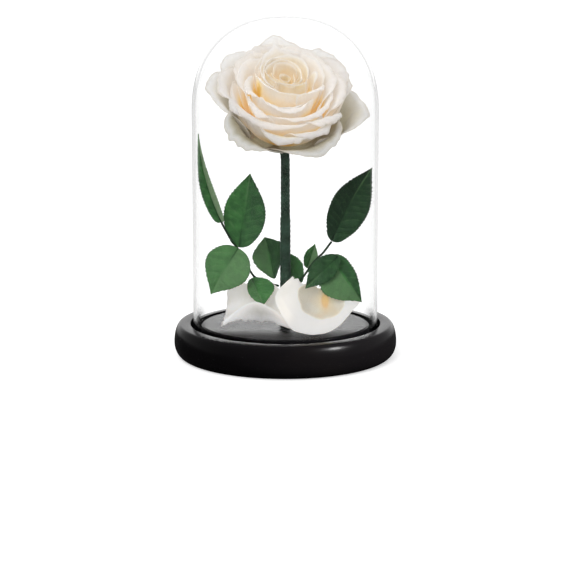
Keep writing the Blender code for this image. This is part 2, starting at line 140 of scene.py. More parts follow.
# Waves over a petal: how often across, how often along and how high in mm at full openness
WAVES = ((2.6, 2, 0.8), (5, 3, 0.5), (11, 4, 0.4), (23, 9, 0.26))
# Unevenness of a petal's outline: how often across and how large as a share of its length
RAGGEDNESS = ((3, 0.016), (7, 0.012), (16, 0.009), (40, 0.006))
# Ruffles of the lip alone: how often across and how high in mm at the margin
RUFFLES = ((4, 1.2), (9, 0.9), (19, 0.5), (36, 0.25))
# How far the small inner petals stray from round
HEART_STRAY = ((2, 0.1), (3, 0.08), (5, 0.04))
# A petal's form unless its row says otherwise: how far its tip is drawn out in mm and how wide that is,
# the share of its lip's length, how far it sags in mm, the share of its roll and of its corners' cut, the
# ridge down its middle in mm, how much it arches, how much extra painted shade darkens it, and its blush:
# how strong, where across the petal, how wide, and between which shares of the length it fades in
PLAIN_PETAL = dict(tip=0, tip_width=0.25, lip=1, sag=0, roll=1, cut=1, keel=0, arch=0, dull=0,
                   blush=(0, 0, 1, 1, 0.9))


def petal(left, right, first, middle, last, **form):
    """Describe a petal that spans from one azimuth to another, clockwise from above with 0 at the front,
    with the openness of its left end, its middle and its right end."""
    return {**PLAIN_PETAL, **form, "azimuth": math.radians((left + right) / 2), "openness": middle,
            "wrap": math.radians((right - left) / 2), "swing": (last - first) / 2,
            "hug": middle - (first + last) / 2}


def ramp(value, table):
    """Read a table of (value, result) pairs along straight lines."""
    return np.interp(value, [row[0] for row in table], [row[1] for row in table])


def smooth(low, high, value):
    """Rise from 0 to 1 between low and high with no corner at either end."""
    share = np.clip((value - low) / (high - low), 0, 1)
    return share * share * (3 - 2 * share)


PETALS = (
    petal(-100, 140, 0, 0.005, 0.015),
    petal(35, 285, 0.02, 0.03, 0.045),
    petal(165, 415, 0.04, 0.055, 0.075),
    petal(40, 130, 0.095, 0.095, 0.12),
    petal(130, 290, 0.15, 0.165, 0.18),
    petal(-115, 65, 0.18, 0.145, 0.17),
    petal(45, 195, 0.165, 0.185, 0.19),
    petal(175, 330, 0.205, 0.205, 0.185),
    petal(-85, 100, 0.19, 0.165, 0.24),
    petal(75, 255, 0.24, 0.255, 0.25),
    petal(-109, 37, 0.405, 0.325, 0.33, blush=(0.6, -0.55, 0.18, 0.88, 0.74)),
    petal(33, 100, 0.33, 0.445, 0.49),
    petal(161, 247, 0.41, 0.4, 0.4, tip=4, tip_width=0.25),
    petal(88, 195, 0.5, 0.51, 0.43),
    petal(66, 120, 0.37, 0.375, 0.34, roll=0.5, cut=3),
    petal(-92, -31, 0.43, 0.51, 0.46),
    petal(140, 245, 0.47, 0.49, 0.47),
    petal(-37, 51, 0.43, 0.536, 0.43),
    petal(-63, -6, 0.545, 0.61, 0.65),
    petal(62, 150, 0.55, 0.6, 0.58),
    petal(212, 312, 0.54, 0.58, 0.58),
    petal(112, 210, 0.64, 0.66, 0.6),
    petal(-30, 101, 0.61, 0.63, 0.61),
    petal(195, 280, 0.62, 0.66, 0.64),
    petal(232, 306, 0.77, 0.8, 0.71),
    petal(160, 250, 0.68, 0.71, 0.69),
    petal(50, 130, 0.69, 0.71, 0.68),
    petal(90, 160, 0.77, 0.8, 0.74),
    petal(-98, 48, 0.69, 0.715, 0.66, cut=0.8),
    petal(16, 82, 0.66, 0.735, 0.82),
    petal(-76, -30, 0.7, 0.745, 0.74),
    petal(206, 266, 0.68, 0.83, 0.84, tip=2, tip_width=0.2, cut=0.8),
    petal(112, 166, 0.78, 0.815, 0.72, tip=1, tip_width=0.3, cut=0.6),
    petal(-36, 40, 0.71, 0.82, 0.78, blush=(0.75, 0, 0.4, 0.97, 0.86)),
    petal(150, 234, 0.66, 0.755, 0.69, tip=6, tip_width=0.26),
    petal(82, 138, 0.79, 0.82, 0.78),
    petal(47, 124, 0.83, 1.037, 0.9, tip=4, tip_width=0.2, lip=0.75, sag=2.1, roll=0.3, cut=0.8, keel=-1.5,
          dull=0.2),
    petal(236, 316, 0.93, 0.9, 0.79, cut=0.7),
    petal(-14, 71, 0.895, 0.92, 0.837, tip=2, tip_width=0.2, lip=1.2, sag=4.3, roll=0.5, cut=0.8, arch=0.5,
          dull=0.6),
    petal(-64, -1, 0.707, 0.922, 0.92, lip=1.32, sag=3.2, roll=0.5, cut=0.8, arch=0.5, dull=0.7),
)

# Petals that the frame doesn't hold, tucked in between the others
INNER_PETALS = (
    petal(-60, 105, 0.185, 0.155, 0.2),
    petal(225, 325, 0.225, 0.23, 0.21),
    petal(0, 62, 0.765, 0.795, 0.8),
    petal(-45, 40, 0.47, 0.5, 0.46, lip=0.7),
    petal(-165, -30, 0.255, 0.27, 0.25),
    petal(-140, -20, 0.3, 0.3, 0.28),
    petal(30, 110, 0.12, 0.115, 0.135),
)

# Leaflets: name, stalk end, tip, the way the upper side faces, then for the two halves the half width,
# the share of the length at which it is widest and the tone from dark to pale, which is partly the leaf's
# own colour and partly painted shade and light on that half, and last the fold, the bend and the sway
LEAFLETS = (
    ("leaf_left_tip", (-41.3, 2, 88), (-56.2, 1, 145), (-0.15, -1, 0.05), (5.2, 4.6),
     (0.27, 0.27), (-0.2, 0.85), 0.6, 0, -2.8),
    ("leaf_left_upper", (-30.1, 4.9, 71.2), (-22.8, 8, 118.5), (0, -1, 0.15), (13.6, 14.6),
     (0.46, 0.42), (0.05, -0.4), 0.12, -3, 0),
    ("leaf_left_lower", (-30.4, 0.2, 71.2), (-47.6, -12, 43.3), (-0.1, -0.9, 0.4), (16.6, 14.4),
     (0.42, 0.38), (0.5, 0.4), 0.1, 3, 0),
    ("leaf_left_front", (-22, 1, 51.4), (-14.3, -14.5, 36.1), (0.1, -0.8, 0.6), (11.6, 6.6),
     (0.5, 0.5), (0.3, 0.4), 0.12, 2, 0),
    ("leaf_left_inner", (-6.8, 15, 48.7), (-13.6, 17.5, 75.4), (0, -1, 0.1), (11.5, 12),
     (0.56, 0.66), (0.45, -0.55), 0.25, -1.5, 0),
    ("leaf_right_inner", (10.3, 13, 46.4), (-0.9, 19, 65.8), (0.1, -1, 0.1), (7.4, 7.2),
     (0.5, 0.5), (-0.15, -0.2), 0.1, -1, 0),
    ("leaf_right_small", (14.2, 6.4, 57.4), (19.3, 8.6, 72.8), (0.4, -0.8, 0.2), (6.4, 4.6),
     (0.4, 0.4), (0.1, 0.6), 0.5, 0, 0),
    ("leaf_right_tip", (30.3, 4, 75.4), (56.3, 3, 123), (-0.1, -1, 0.1), (11.6, 14),
     (0.45, 0.45), (-1, -0.8), 0.15, -3, -1.8),
    ("leaf_right_front", (34.1, -2.4, 66.4), (13, -12.2, 47.3), (0.1, -0.9, 0.35), (7.8, 8.8),
     (0.45, 0.45), (-0.6, -0.65), 0.12, 2, 0),
    ("leaf_right_outer", (29, 2.8, 65.4), (49, -8, 37.5), (0.15, -0.9, 0.3), (8.4, 19),
     (0.36, 0.46), (-0.5, 0.5), 0.12, 3, 0),
)
LEAF_GRID = (28, 220)
# Leaf edges and veins, in mm
LEAF_END_WIDTH = 0.5
TOOTH_SPACING = 2
TOOTH_DEPTH = 0.8
VEIN_SPACING = 4.6
VEIN_DEPTH = 0.3
LEAF_WAVE = 0.7

# Leaf stalks: the points that each one runs through, from the stem outwards
STALK_RADIUS = 0.72
STALKS = (
    ("leaf_stalk_left", ((-4.2, 9, 45), (-11, 8.4, 46.6), (-16.4, 7, 49), (-20.6, 5.4, 52),
                         (-25.6, 4, 60), (-30.6, 3, 70), (-36, 2.4, 78), (-40.7, 2.2, 86.6),
                         (-42.3, 2, 91.5))),
    ("leaf_stalk_right", ((4.2, 9, 45), (8.4, 7.6, 47.5), (12.4, 6, 52.5), (18, 4.6, 61),
                          (25, 4, 68.2), (30, 4, 75))),
)

# Loose petals: rows of points that the sheet runs through, each row from left to right
FALLEN_PETALS = (
    ("fallen_petal_left", (
        ((-38, 2, 44.5), (-28, -1, 50.5), (-18, 2, 45.5), (-10, 4.6, 49.8), (-2.4, 3, 44)),
        ((-38.6, -4, 36.5), (-28.5, -6, 38.5), (-18, -2, 37.5), (-10, -0.5, 38),
         (-0.4, -5, 35)),
        ((-39.6, -13, 29), (-29, -13.5, 30), (-19, -13.5, 30.5), (-10, -13.5, 30.5),
         (2.2, -16, 28.5)),
        ((-41, -20, 26), (-30, -21.5, 35), (-20, -23.5, 40.2), (-10.5, -25, 37.5),
         (3.2, -25.5, 28.4)),
        ((-42.6, -23, 23.6), (-30, -28, 28.3), (-19, -31.5, 27.6), (-9.3, -33, 25.6),
         (5.6, -33, 23.4)),
    )),
    ("fallen_petal_right", (
        ((14.5, -3, 50.5), (19, -2.6, 50), (24.5, -2.6, 49.5), (31, -3, 48), (38, -4, 45)),
        ((11.5, -6, 51), (12.5, -8, 38), (19.5, -12, 31), (29.5, -13, 31.5), (40.5, -9.5, 40.5)),
        ((8.5, -10, 54.5), (0.6, -14.5, 42), (8, -24, 27.5), (26, -28, 25.5), (46, -15, 40)),
        ((5.2, -16, 57), (-7.8, -26, 44.5), (4, -41, 25.6), (28.5, -41.5, 23.6), (50, -19, 40.2)),
    )),
)
# Deep orange fleck on the right loose petal: its place and half size across and up, in mm
FLECK = (25.7, 38.6, 2, 3.6)
# Inside of the same petal, warmer beige and with painted shade: its place across and up, and its half size, in mm
INSIDE = (24.5, 39.9, 15.5)
# Margin bites and surface waves of the loose petals: how many along a side, and how large
FALLEN_BITES = ((5, 0.02), (13, 0.018), (31, 0.011))
FALLEN_WAVES = ((3, 4, 0.9), (7, 6, 0.6), (15, 13, 0.34))
FALLEN_GRID = (60, 60)


def colours(*shown):
    """Turn colours as they show on screen, 0 to 255, into the linear values that shaders take."""
    shares = [[channel / 255 for channel in one] for one in shown]
    return [(*(s / 12.92 if s <= 0.04045 else ((s + 0.055) / 1.055) ** 2.4 for s in one), 1) for one in shares]


# Petal colours: the pale, warm, deep and rim colours of faces and backs, on the bloom and on the loose
# petals, the olive and painted shade and the brown that lie over them, and the painted glow that stands in
# for light coming through them, dimmer under the painted shade and stronger on the loose petals
PETAL_FACE = colours((238, 231, 223), (243, 222, 172), (226, 172, 48), (241, 236, 231))
PETAL_BACK = colours((238, 230, 219), (243, 216, 154), (224, 166, 42), (242, 237, 230))
LOOSE_FACE = colours((249, 245, 238), (246, 226, 186), (236, 160, 56), (251, 247, 243))
LOOSE_BACK = colours((249, 243, 234), (246, 228, 192), (236, 160, 56), (251, 247, 243))
PETAL_OLIVE_SHADE, PETAL_BROWN = colours((158, 151, 134), (176, 150, 112))
PALE_GLOW, WARM_GLOW, OLIVE_SHADE_GLOW = colours((252, 246, 240), (236, 200, 118), (70, 66, 56))
PETAL_GLOW_STRENGTH = 0.18
LOOSE_GLOW_STRENGTH = 0.23

# Leaf colours that all leaflets share, then the light and dark of their upper side and underside, and
# the size of their finest veins in mm
LEAF_DARK, LEAF_PALE, LEAF_VEIN = colours((24, 46, 30), (136, 152, 124), (104, 142, 94))
LEAF_UPPER = colours((72, 132, 68), (40, 84, 44))
LEAF_UNDER = colours((116, 136, 106), (84, 106, 78))
LEAF_NET = 1.7

# Light and dark of the tape, the leaf stalks, the calyx, the lacquer and the groove's lining
TAPE_TONES = colours((48, 76, 60), (28, 50, 36))
STALK_TONES = colours((40, 64, 42), (22, 40, 26))
CALYX_TONES = colours((70, 90, 60), (45, 62, 40))
LACQUER_TONES = colours((6, 6, 8), (12, 10, 10))
LINING_TONES = colours((3, 3, 4), (9, 9, 10))

# Studio: how bright the room's even light is, how bright gloss sees it behind, above and before the
# object, the floor's glow and tone, and what mirrored rays and rays caught in the dome's wall find
ROOM_EVEN = 0.7
ROOM_BEHIND = 2.1
ROOM_ABOVE = 0.9
ROOM_BEFORE = 0.06
FLOOR_GLOW = 0.5
FLOOR_TONE = 0.93
MIRRORED_BEFORE = 0.05
MIRRORED_BEHIND = 1.15
MIRRORED_LEFT = 0.92
GLASS_EDGE = 0.79
# Half the floor's side, in m, and how much the glass and the lacquer bend light
FLOOR_HALF = 9
GLASS_INDEX = 1.18
LACQUER_INDEX = 1.12
# Lamps: where each one hangs and aims, its size, in m, and its power in watts
KEY_LIGHT = ((-0.45, -0.95, 0.98), (0, 0, 0.14), 0.7, 6.5)
EDGE_LIGHT = ((0.68, -0.46, 0.5), (0.03, -0.06, 0.02), 0.18, 24)
# Camera: elevation in degrees, distance in m, lens in mm, and the point it looks at in mm
ELEVATION = 11.99
DISTANCE = 1.4
LENS = 133.5
TARGET = (3.05, 0, 42.77)


# Shader helpers
class Shading:
    """Adds nodes to a tree and joins them, so that a material reads as a short list of steps."""

    def __init__(self, tree):
        self.tree = tree

    def feed(self, value, socket):
        if isinstance(value, bpy.types.NodeSocket):
            self.tree.links.new(value, socket)
        else:
            socket.default_value = value

    def fill(self, made, inputs):
        for name, value in inputs.items():
            self.feed(value, made.inputs[name])
        return made

    def dress(self, inputs):
        return self.fill(self.tree.nodes["Principled BSDF"], inputs)

    def node(self, kind, inputs=None, **settings):
        made = self.tree.nodes.new(kind)
        for name, value in settings.items():
            setattr(made, name, value)
        return self.fill(made, inputs or {})

    def math(self, operation, first, second=0, clamp=False):
        return self.node("ShaderNodeMath", {0: first, 1: second}, operation=operation, use_clamp=clamp).outputs[0]

    def times(self, first, second):
        return self.math("MULTIPLY", first, second)

    def plus(self, first, second, clamp=False):
        return self.math("ADD", first, second, clamp)

    def span(self, value, low, high, to_low=0, to_high=1):
        return self.node("ShaderNodeMapRange", {"Value": value, "From Min": low, "From Max": high,
                                                "To Min": to_low, "To Max": to_high}).outputs["Result"]

    def mix(self, share, first, second, blend_type="MIX"):
        inputs = {0: share, 6: first, 7: second}
        return self.node("ShaderNodeMix", inputs, data_type="RGBA", blend_type=blend_type).outputs[2]

    def noise(self, place, scale, detail):
        return self.node("ShaderNodeTexNoise", {"Vector": place, "Scale": scale, "Detail": detail}).outputs[0]

    def place(self, kind="Object"):
        return self.node("ShaderNodeTexCoord").outputs[kind]

    def parts(self, vector):
        return self.node("ShaderNodeSeparateXYZ", {"Vector": vector}).outputs

    def masks(self, *names):
        return [self.node("ShaderNodeAttribute", attribute_name=name).outputs["Fac"] for name in names]

    def group(self, tree, inputs):
        return self.node("ShaderNodeGroup", inputs, node_tree=tree).outputs

    def mottled(self, cloud_size, grain_size):
        made = self.group(MOTTLE, {"Position": self.place(), "Cloud Size": cloud_size, "Grain Size": grain_size})
        return made["Cloud"], made["Grain"]

    def bump(self, height, distance, strength):
        """Turn a height between 0 and 1 into a normal, with the relief's depth in mm."""
        made = self.node("ShaderNodeBump", {"Height": height, "Strength": strength, "Distance": distance * MM})
        return made.outputs["Normal"]

    def rays(self):
        return self.node("ShaderNodeLightPath").outputs

    def in_wall(self):
        """Tell rays that were caught in the dome's wall, which have passed one or two faces of it."""
        inputs = {0: self.rays()["Transmission Depth"], 1: 1.5, 2: 0.6}
        return self.node("ShaderNodeMath", inputs, operation="COMPARE").outputs[0]


def new_group(kind, name, inputs, outputs):
    """Start a node group with named sockets of given kinds; gives its helper, what comes in, what goes out
    and the identifiers of its inputs."""
    tree = bpy.data.node_groups.new(name, kind)
    names = {label: tree.interface.new_socket(label, in_out="INPUT", socket_type="NodeSocket" + sort).identifier
             for label, sort in inputs.items()}
    for label, sort in outputs.items():
        tree.interface.new_socket(label, in_out="OUTPUT", socket_type="NodeSocket" + sort)
    look = Shading(tree)
    return look, look.node("NodeGroupInput").outputs, look.node("NodeGroupOutput").inputs, names


def make_mottle():
    """Soft clouds and fine grain, both around 0.5, at sizes given in mm."""
    look, source, sink, _ = new_group(
        "ShaderNodeTree", "soft mottle", {"Position": "Vector", "Cloud Size": "Float", "Grain Size": "Float"},
        {"Cloud": "Float", "Grain": "Float"})
    for label, detail in (("Cloud", 3), ("Grain", 2)):
        scale = look.math("DIVIDE", 1 / MM, source[label + " Size"])
        look.feed(look.noise(source["Position"], scale, detail), sink[label])
    return look.tree


def make_fibre():
    """Fine fibres that run along V of a UV map, wavering a little, between 0 and 1."""
    look, source, sink, _ = new_group(
        "ShaderNodeTree", "fine fibre", {"UV": "Vector", "Count": "Float", "Waver": "Float"}, {"Height": "Float"})
    parts = look.parts(source["UV"])
    shift = look.times(look.times(look.noise(source["UV"], 5, 2), source["Waver"]), 10)
    across = look.plus(look.times(parts["X"], source["Count"]), shift)
    place = look.node("ShaderNodeCombineXYZ", {"X": across, "Y": look.times(parts["Y"], 3)}).outputs[0]
    look.feed(look.noise(place, 1, 2), sink["Height"])
    return look.tree


MOTTLE = make_mottle()
FIBRE = make_fibre()


def new_material(name):
    """Make a node material and give it back with its shading helper."""
    made = bpy.data.materials.new(name)
    made.use_nodes = True
    return made, Shading(made.node_tree)


def petal_material(name, glow_strength, pale, warm, deep, rim):
    """Cream petal: pale near the lip, warmer further in, with a painted glow deep down that stands in
    for light coming through it, and faintly fibrous.
    """
    made, look = new_material(name)
    cloud, grain = look.mottled(9, 0.35)
    fibre, ribs = [look.group(FIBRE, {"UV": look.place("UV"), "Count": count, "Waver": waver})["Height"]
                   for count, waver in ((70, 0.8), (19, 0.6))]
    warmth, lip, olive_and_shade, brown, through = look.masks("warmth", "lip", "olive_and_shade", "brown", "through")
    warmth = look.plus(warmth, look.span(cloud, 0.3, 0.7, -0.1, 0.1), clamp=True)
    # Painted glow: emission that stands in for light coming through the petals and filling their hollows, dimmed in
    # painted shade
    glow = look.mix(look.span(warmth, 0.1, 0.8), PALE_GLOW, WARM_GLOW)
    glow = look.mix(through, (0, 0, 0, 1), look.mix(olive_and_shade, glow, OLIVE_SHADE_GLOW))
    body = look.mix(look.span(warmth, 0, 0.5), pale, warm)
    # The olive colour is partly the outer petals' own tint and partly painted shade
    for share, paint in ((look.span(warmth, 0.4, 0.9), deep), (olive_and_shade, PETAL_OLIVE_SHADE), (lip, rim),
                         (look.times(brown, cloud), PETAL_BROWN)):
        body = look.mix(share, body, paint)
    relief = look.plus(look.times(fibre, 0.26), look.times(ribs, 0.9))
    relief = look.plus(relief, look.times(grain, 0.08))
    look.dress({
        "Base Color": look.mix(1, body, look.span(fibre, 0.35, 0.65, 0.985, 1.01), "MULTIPLY"),
        "Emission Color": glow, "Emission Strength": glow_strength,
        "Roughness": look.span(grain, 0.3, 0.7, 0.55, 0.7), "Normal": look.bump(relief, 0.6, 0.75),
        "Specular IOR Level": 0.3, "Subsurface Weight": 0.7, "Subsurface Radius": (1, 0.92, 0.75),
        "Subsurface Scale": 0.004, "Sheen Weight": 0.08, "Sheen Roughness": 0.5})
    return made


def leaf_material(name, light, dark, roughness):
    """Preserved leaf: mottled green with a fine net of veins, and a dull waxy sheen."""
    made, look = new_material(name)
    cloud, grain = look.mottled(4.5, 0.6)
    tone, vein, midrib, margin = look.masks("tone", "vein", "midrib", "margin")
    shade = look.plus(look.span(cloud, 0.38, 0.62, 0.28, 0.72), look.times(tone, 0.5), clamp=True)
    vein = look.times(vein, look.span(tone, -1, 0, 0.3, 1))
    vein = look.times(vein, look.span(cloud, 0.4, 0.6, 0.1, 0.45))
    net = look.node("ShaderNodeTexVoronoi", {"Vector": look.place(), "Scale": 1 / (LEAF_NET * MM)},
                    feature="DISTANCE_TO_EDGE").outputs["Distance"]
    net = look.span(net, 0, 0.16)
    body = look.mix(shade, dark, light)
    # Tone is partly the leaf's own light and dark and partly painted shade and light on each half
    for share, paint in ((look.span(tone, -0.2, -1, 0, 0.9), LEAF_DARK),
                         (look.span(tone, 0.3, 1, 0, 0.9), LEAF_PALE),
                         (vein, LEAF_VEIN),
                         (look.span(midrib, 0, 1, 0, 0.85), LEAF_DARK),
                         (look.span(midrib, 0, -1, 0, 0.8), LEAF_VEIN),
                         (look.span(net, 0, 1, 0.14, 0), dark),
                         (look.span(grain, 0.64, 0.74, 0, 0.3), LEAF_VEIN),
                         (look.times(margin, 0.5), LEAF_DARK)):
        body = look.mix(share, body, paint)
    relief = look.plus(look.times(grain, 0.4), look.times(net, 0.6))
    look.dress({
        "Base Color": body, "Normal": look.bump(relief, 0.2, 0.7), "Specular IOR Level": 0.35,
        "Roughness": look.span(grain, 0.3, 0.7, roughness - 0.08, roughness + 0.1)})
    return made


def black_material():
    """Satin black lacquer on turned wood, with a trace of the lathe's rings, duller on the disc in front."""
    made, look = new_material("satin black wood")
    cloud, grain = look.mottled(25, 0.6)
    parts = look.parts(look.place())
    disc = look.span(parts["Z"], (RIM_HEIGHT + 0.2) * MM, (RIM_HEIGHT + 0.5) * MM)
    front = look.times(disc, look.span(parts["Y"], -22 * MM, -42 * MM, 0, 0.3))
    rings = look.node("ShaderNodeTexWave", {"Vector": look.place(), "Scale": 520, "Distortion": 1.5,
                                            "Detail": 1}, wave_type="RINGS", rings_direction="Z").outputs["Fac"]
    look.dress({
        "Base Color": look.mix(cloud, *LACQUER_TONES), "IOR": LACQUER_INDEX,
        "Roughness": look.plus(look.span(cloud, 0.3, 0.7, 0.19, 0.25), front),
        "Normal": look.bump(look.plus(look.times(rings, 0.3), grain), 0.05, 0.25)})
    return made


def groove_material():
    """Flat black lining of the groove that the dome stands in."""
    made, look = new_material("groove lining")
    cloud, grain = look.mottled(6, 0.4)
    look.dress({
        "Base Color": look.mix(cloud, *LINING_TONES), "Specular IOR Level": 0.02,
        "Roughness": look.span(grain, 0.3, 0.7, 0.85, 1), "Normal": look.bump(grain, 0.1, 0.5)})
    return made


def glass_material():
    """Clear glass that lets lamp light through to what stands inside it, with a painted dark reflection of the
    groove on the edges of its foot; its index is kept low, so that the walls don't mirror the studio over the leaves."""
    made, look = new_material("clear glass")
    # Painted reflection: the wall's edges near the foot are tinted dark, as if they mirrored the black groove
    foot = look.span(look.parts(look.place())["Z"], FOOT_SHADE[0] * MM, FOOT_SHADE[1] * MM, 1, 0)
    facing = look.node("ShaderNodeLayerWeight", {"Blend": 0.5}).outputs["Facing"]
    foot = look.times(foot, look.span(facing, 0.5, 0.75))
    shader = look.dress({"Base Color": look.mix(foot, (1, 1, 1, 1), (0.02, 0.02, 0.02, 1)),
                         "Roughness": 0, "IOR": GLASS_INDEX, "Transmission Weight": 1})
    clear = look.node("ShaderNodeBsdfTransparent", {"Color": (0.97, 0.975, 0.975, 1)}).outputs[0]
    path = look.rays()
    through = look.math("MAXIMUM", path["Is Shadow Ray"], path["Is Diffuse Ray"])
    both = look.node("ShaderNodeMixShader", {0: through, 1: shader.outputs[0], 2: clear}).outputs[0]
    tint = look.node("ShaderNodeVolumeAbsorption", {"Color": (0.55, 0.6, 0.6, 1), "Density": 6}).outputs[0]
    look.fill(made.node_tree.nodes["Material Output"], {"Surface": both, "Volume": tint})
    return made


def plant_material(name, light, dark, size, depth, roughness):
    """Matte plant tissue or tape: two tones in clouds, with fine grain relief."""
    made, look = new_material(name)
    cloud, grain = look.mottled(size, 0.5)
    look.dress({
        "Base Color": look.mix(look.span(cloud, 0.35, 0.65), dark, light), "Specular IOR Level": 0.3,
        "Roughness": look.span(grain, 0.3, 0.7, roughness - 0.1, roughness + 0.1),
        "Normal": look.bump(grain, depth, 0.6)})
    return made


def floor_material():
    """Plain pale studio floor, lit from within like a light table, with no glare on what stands on it;
    mirrored rays find it bright behind the object and dark elsewhere."""
    made, look = new_material("pale floor")
    path = look.rays()
    tone, before, behind = [(t, t, t, 1) for t in (FLOOR_TONE, MIRRORED_BEFORE, MIRRORED_BEHIND)]
    parts = look.parts(look.place())
    back = look.times(look.in_wall(), look.math("ABSOLUTE", parts["Y"]))
    back = look.math("MAXIMUM", back, parts["Y"])
    aside = look.math("DIVIDE", look.math("ABSOLUTE", parts["X"]), look.math("MAXIMUM", back, 0.05))
    left = look.span(parts["X"], -0.3, 0.3, MIRRORED_LEFT, 1)
    far = look.times(look.times(look.span(aside, 0.85, 1.2, 1, 0), left), look.span(back, 0.05, 0.2))
    mirrored = look.math("SUBTRACT", path["Glossy Depth"], path["Is Diffuse Ray"], clamp=True)
    seen = look.math("MAXIMUM", path["Is Camera Ray"], path["Is Transmission Ray"])
    seen = look.math("SUBTRACT", seen, path["Glossy Depth"], clamp=True)
    look.dress({
        "Base Color": look.mix(mirrored, tone, look.mix(far, before, behind)), "Roughness": 0.9,
        "Specular IOR Level": 0.1, "Emission Color": (1, 1, 1, 1),
        "Emission Strength": look.times(seen, FLOOR_GLOW)})
    return made


# Piece helpers
def finish_piece(piece, slot, *nodes):
    """Put a piece on the body and hide the imported solids that it stands in for; its slot is not used."""
    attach(piece, BODY)
    if nodes:
        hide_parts(*nodes)
    return piece


def add_object(name, data):
    """Put a new object into the scene."""
    made = bpy.data.objects.new(name, data)
    bpy.context.scene.collection.objects.link(made)
    return made


def add_mesh(name, mesh, *materials):
    """Add a mesh object at the origin with its materials."""
    for item in materials:
        mesh.materials.append(item)
    return add_object(name, mesh)


def build_sheet(name, slot, points, masks, margin, sheet, finishes, *nodes):
    """Make a smooth sheet from a grid of points in mm, with named masks, and put it on the body; it gets
    thinner towards its margin, which is 0 inside and 1 at the edge."""
    rows, columns = points.shape[:2]
    index = np.arange(rows * columns).reshape(rows, columns)
    faces = np.stack([index[:-1, :-1], index[:-1, 1:], index[1:, 1:], index[1:, :-1]], -1).reshape(-1, 4)
    mesh = bpy.data.meshes.new(name)
    mesh.from_pydata((points.reshape(-1, 3) * MM).tolist(), [], faces.tolist())
    u, v = grid(columns - 1, rows - 1)
    uv = np.stack([(u + 1) / 2, v], -1).reshape(-1, 2)
    mesh.uv_layers.new(name="UVMap").data.foreach_set("uv", uv[faces.reshape(-1)].ravel())
    for label, values in masks.items():
        mask = mesh.attributes.new(label, "FLOAT", "POINT")
        mask.data.foreach_set("value", np.broadcast_to(values, (rows, columns)).ravel().astype(np.float32))
    mesh.shade_smooth()
    piece = add_mesh(name, mesh, *finishes)
    group = piece.vertex_groups.new(name="body")
    for number, value in enumerate(margin.ravel()):
        group.add([number], float(1 - value), "REPLACE")
    solid = piece.modifiers.new("thickness", "SOLIDIFY")
    solid.thickness = sheet[0] * MM
    solid.offset = 0
    solid.vertex_group = "body"
    solid.thickness_vertex_group = sheet[1]
    solid.material_offset = solid.material_offset_rim = 1
    finish_piece(piece, slot, *nodes)


def grid(columns, rows):
    """Give u from -1 to 1 across and v from 0 to 1 along, as arrays of rows and columns."""
    return np.meshgrid(np.linspace(-1, 1, columns + 1), np.linspace(0, 1, rows + 1))


# Flower
def family_curve(openness, azimuth, sag=0, arch=0):
    """Give the four control points (radius, height) of the petal curve at an openness and azimuth; an
    arched petal leaves the others level with its lip instead of rising to it."""
    steps, *columns = zip(*FAMILY)
    *values, lift = [np.interp(openness, steps, column) for column in columns]
    lift = lift * (1 + np.cos(azimuth - LIFT_AZIMUTH)) / 2 - sag
    points = [(radius, height + share * lift)
              for radius, height, share in zip(values[::2], values[1::2], LIFT_SHARES)]
    level = (points[1][0], points[3][1])
    points[2] = [(1 - arch) * high + arch * flat for high, flat in zip(points[2], level)]
    return points


def bezier(points, along):
    """Give radius, height and direction of a cubic Bezier curve."""
    rest = 1 - along
    weights = (rest ** 3, 3 * rest ** 2 * along, 3 * rest * along ** 2, along ** 3)
    slopes = (rest ** 2, 2 * rest * along, along ** 2)
    radius, height = [sum(w * p[axis] for w, p in zip(weights, points)) for axis in (0, 1)]
    across, up = [sum(w * (q[axis] - p[axis]) for w, p, q in zip(slopes, points, points[1:])) for axis in (0, 1)]
    return radius, height, np.arctan2(up, across)


def wander(share, count, draw):
    """Give smooth chance values between -1 and 1 along a share from 0 to 1, with count bends."""
    knots = draw.uniform(-1, 1, count + 4)
    place = share * count
    index = np.minimum(place.astype(int), count - 1)
    local = place - index
    a, b, c, d = [knots[index + shift] for shift in range(4)]
    return b + ((c - a) * local + (2 * a - 5 * b + 4 * c - d) * local ** 2 + (3 * b - a - 3 * c + d) * local ** 3) / 2


